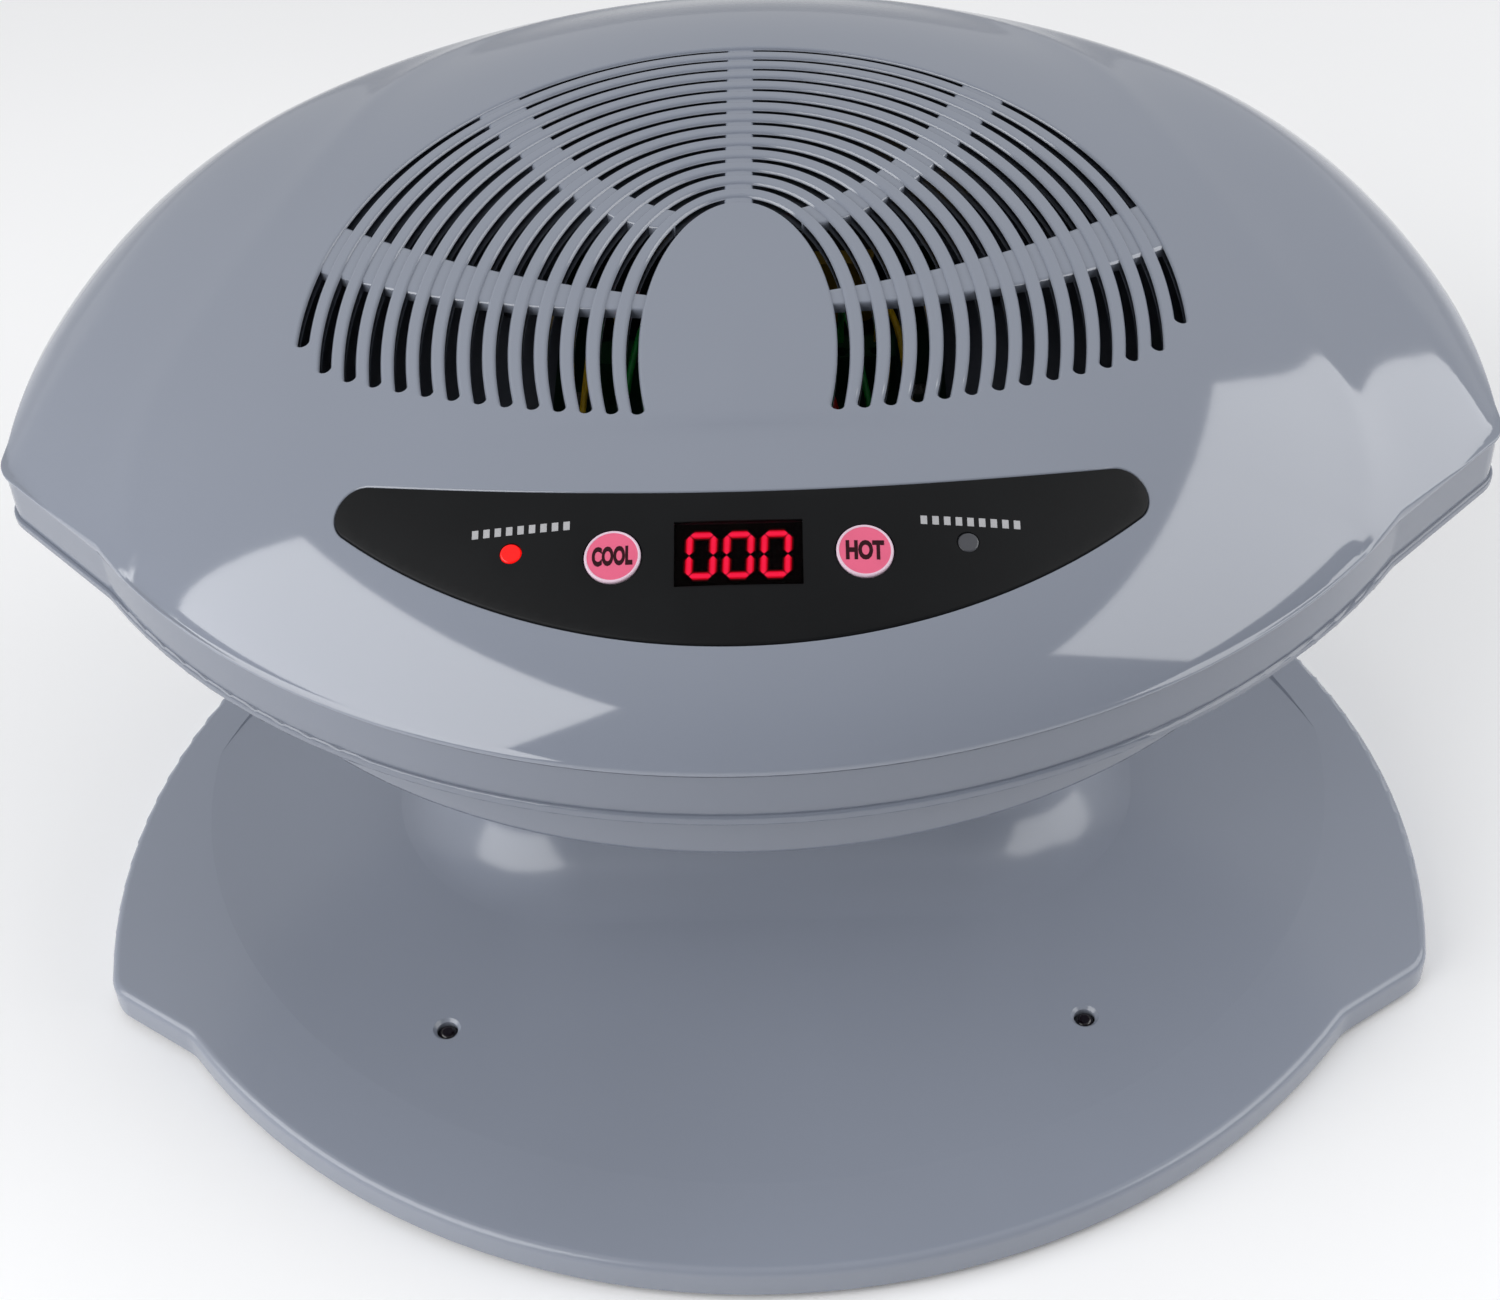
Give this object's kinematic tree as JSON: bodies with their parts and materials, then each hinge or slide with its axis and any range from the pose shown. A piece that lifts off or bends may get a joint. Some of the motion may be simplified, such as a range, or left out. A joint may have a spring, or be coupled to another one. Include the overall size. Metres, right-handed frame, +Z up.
{
  "type": "two-hand nail dryer",
  "caption": "Two-hand fan nail dryer: a lens-shaped hood with an intake grille and control panel, on a rear column over a dished base.",
  "frame": {"origin": "on the table, in the middle of the footprint box", "axes": "+X to the right hand, -Y to the front where the hands go in, +Z up"},
  "size_m": [0.3912, 0.348, 0.2189],
  "materials": {
    "hood_abs": "glossy moulded ABS, blue-grey",
    "base_abs": "glossy moulded ABS, blue-grey, a little darker",
    "overlay_film": "charcoal control film, semi-gloss",
    "smoked_window": "smoked clear plastic window",
    "display_black": "black display block with red segments",
    "button_pink": "pink push button, semi-gloss",
    "led_red": "red diffused LED, lit",
    "led_clear": "smoky LED, unlit",
    "switch_black": "black moulded switch",
    "board": "green solder mask on fibreglass",
    "zinc_steel": "zinc-plated steel",
    "fan_black": "black glass-filled plastic",
    "winding": "enamelled copper wire",
    "mica": "mica sheet",
    "heating_wire": "nickel-chrome wire",
    "duct_metal": "thin bright aluminium",
    "grille_black": "black moulded plastic",
    "core_iron": "laminated steel",
    "tape_yellow": "yellow insulating tape",
    "relay_blue": "blue moulded case",
    "capacitor_sleeve": "printed shrink sleeve",
    "terminal_green": "green moulded block",
    "wire_red": "red PVC insulation",
    "wire_green": "green PVC insulation",
    "wire_yellow": "yellow PVC insulation",
    "lead_grey": "grey PVC insulation",
    "plate_black": "black moulded ABS",
    "foot_rubber": "black rubber",
    "sensor_dark": "infrared-passing dark plastic",
    "inlet_black": "black nylon",
    "pin_brass": "plated brass"
  },
  "bodies": {
    "housing": {"top_cover": "hood_abs", "lower_housing": "hood_abs", "base_shell": "base_abs", "control_overlay": "overlay_film", "display_window": "smoked_window", "display_module": "display_black", "control_board": "board", "control_board_screws": "zinc_steel", "cool_switch": "switch_black", "hot_switch": "switch_black", "cool_led": "led_red", "hot_led": "led_clear", "hood_screws": "zinc_steel", "column_screws": "zinc_steel", "power_board_screws": "zinc_steel", "fan_screws": "zinc_steel", "base_screws": "zinc_steel", "power_board": "board", "transformer_core": "core_iron", "transformer_coil": "tape_yellow", "relays": "relay_blue", "capacitors": "capacitor_sleeve", "terminal_block": "terminal_green", "red_wires": "wire_red", "green_wires": "wire_green", "yellow_wires": "wire_yellow", "base_plate": "plate_black", "rubber_feet": "foot_rubber", "sensor_leads": "lead_grey", "mains_leads": "lead_grey", "mains_inlet": "inlet_black", "inlet_pins": "pin_brass", "outlet_grille_left": "grille_black", "air_duct_left": "duct_metal", "heater_frame_left": "mica", "heater_coil_left": "heating_wire", "thermal_cutoff_left": "duct_metal", "fan_frame_left": "fan_black", "fan_stator_left": "winding", "sensor_board_left": "board", "sensor_eye_left": "sensor_dark", "outlet_grille_right": "grille_black", "air_duct_right": "duct_metal", "heater_frame_right": "mica", "heater_coil_right": "heating_wire", "thermal_cutoff_right": "duct_metal", "fan_frame_right": "fan_black", "fan_stator_right": "winding", "sensor_board_right": "board", "sensor_eye_right": "sensor_dark"},
    "cool_button": {"cool_button": "button_pink", "cool_switch_plunger": "switch_black"},
    "hot_button": {"hot_button": "button_pink", "hot_switch_plunger": "switch_black"},
    "fan_rotor_left": {"fan_rotor_left": "fan_black"},
    "fan_rotor_right": {"fan_rotor_right": "fan_black"}
  },
  "joints": [
    {"name": "cool_button_press", "type": "slide", "parent": "housing", "child": "cool_button", "axis": [0, 0.3822, -0.9241], "range_m": [0, 0.0005], "stiffness_N_per_m": 400},
    {"name": "hot_button_press", "type": "slide", "parent": "housing", "child": "hot_button", "axis": [0, 0.3822, -0.9241], "range_m": [0, 0.0005], "stiffness_N_per_m": 400},
    {"name": "fan_left_spin", "type": "hinge", "parent": "housing", "child": "fan_rotor_left", "pos_m": [-0.054, -0.062, 0.155], "axis": [0, 0, 1], "continuous": true},
    {"name": "fan_right_spin", "type": "hinge", "parent": "housing", "child": "fan_rotor_right", "pos_m": [0.054, -0.062, 0.155], "axis": [0, 0, 1], "continuous": true}
  ]
}
